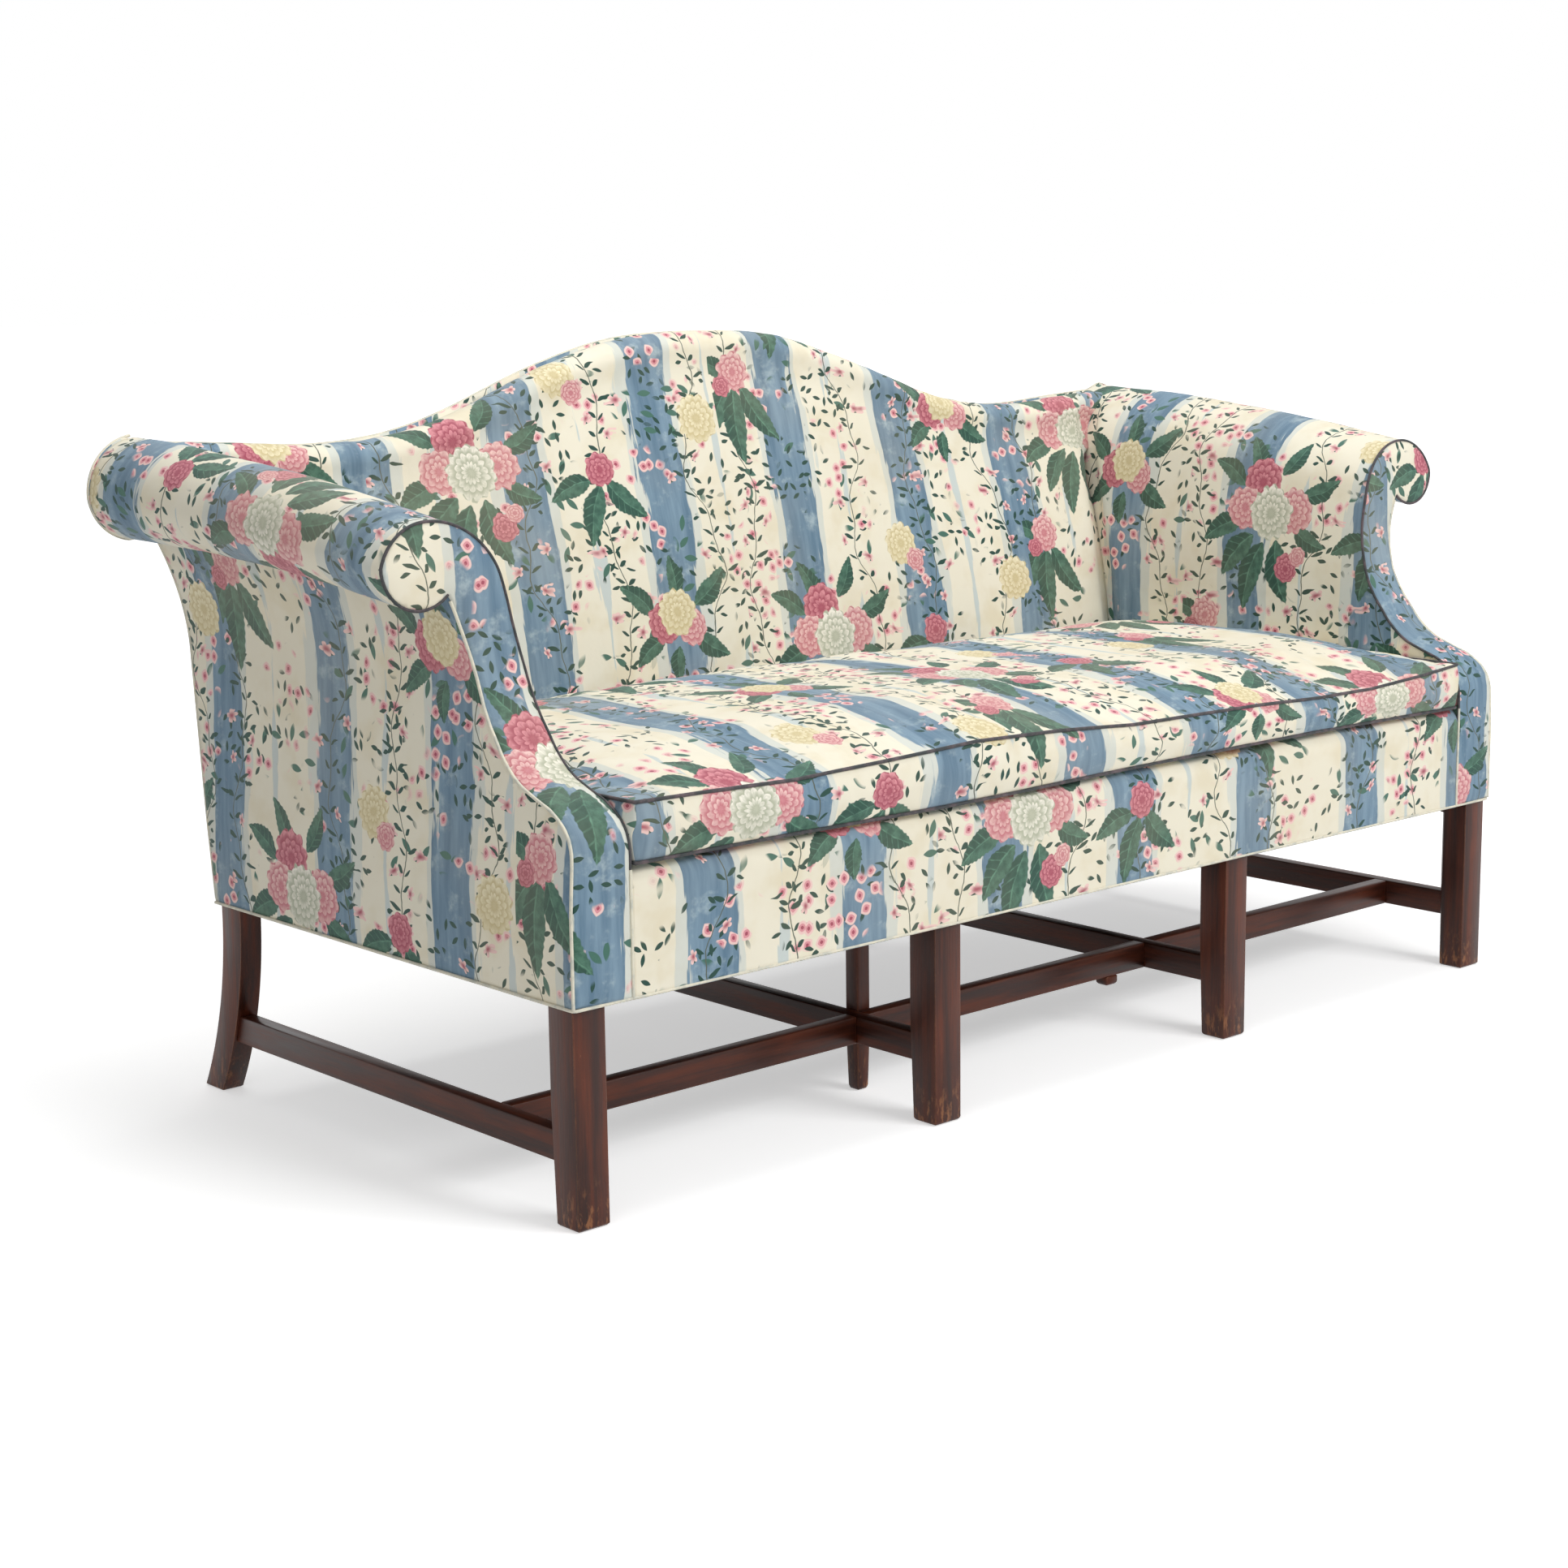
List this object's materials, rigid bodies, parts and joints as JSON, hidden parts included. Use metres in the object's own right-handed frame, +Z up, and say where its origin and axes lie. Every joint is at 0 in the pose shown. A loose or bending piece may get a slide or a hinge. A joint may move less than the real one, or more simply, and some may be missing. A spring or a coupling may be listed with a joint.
{
  "type": "sofa",
  "caption": "Camelback sofa with out-scrolled arms, printed cotton upholstery, a loose seat cushion and square mahogany legs joined by stretchers",
  "frame": {"origin": "centre of the base of the whole sofa, on the floor", "axes": "+X runs along the sofa to the sitter's left as seen from the front (its longest extent), the front looks along -Y, +Z up"},
  "size_m": [2.062, 0.8907, 1.0158],
  "materials": {
    "show_wood": "dark mahogany stain under a semi-gloss lacquer, worn lighter on the edges",
    "frame_wood": "planed hardwood, unfinished",
    "upholstery": "printed glazed cotton, cream ground with blue stripes, leaves and flowers",
    "webbing": "woven jute webbing",
    "lining": "thin black cambric",
    "steel": "plain wire and screws"
  },
  "bodies": {
    "sofa": {"arm_facing_left": "upholstery", "arm_facing_right": "upholstery", "arm_lower_rail_left": "frame_wood", "arm_lower_rail_right": "frame_wood", "arm_post_left": "frame_wood", "arm_post_right": "frame_wood", "arm_rear_block_left": "frame_wood", "arm_rear_block_right": "frame_wood", "arm_scroll_board_left": "frame_wood", "arm_scroll_board_right": "frame_wood", "arm_top_rail_left": "frame_wood", "arm_top_rail_right": "frame_wood", "back_lower_rails": "frame_wood", "back_post_left": "frame_wood", "back_post_right": "frame_wood", "back_uprights": "frame_wood", "back_webbing": "webbing", "centre_leg": "show_wood", "corner_block_screws": "steel", "corner_blocks": "frame_wood", "crest_rail": "frame_wood", "cross_stretcher_left": "show_wood", "cross_stretcher_right": "show_wood", "dust_cover": "lining", "end_stretcher_left": "show_wood", "end_stretcher_right": "show_wood", "front_border": "upholstery", "front_leg_1": "show_wood", "front_leg_2": "show_wood", "front_leg_3": "show_wood", "front_leg_4": "show_wood", "front_rail": "frame_wood", "inside_arm_left": "upholstery", "inside_arm_right": "upholstery", "inside_back": "upholstery", "medial_stretcher_centre": "show_wood", "medial_stretcher_left": "show_wood", "medial_stretcher_right": "show_wood", "outside_arm_cover_left": "upholstery", "outside_arm_cover_right": "upholstery", "outside_back_cover": "upholstery", "rear_leg_1": "show_wood", "rear_leg_2": "show_wood", "rear_leg_3": "show_wood", "rear_leg_4": "show_wood", "rear_rail": "frame_wood", "seat_braces": "frame_wood", "seat_deck": "upholstery", "seat_springs": "steel", "seat_webbing": "webbing", "side_rail_left": "frame_wood", "side_rail_right": "frame_wood", "stretcher_stub": "show_wood"},
    "cushion": {"seat_cushion": "upholstery"}
  },
  "joints": [
    {"name": "cushion_lift", "type": "slide", "parent": "sofa", "child": "cushion", "axis": [0, 0, 1], "range_m": [0, 0.6]}
  ]
}
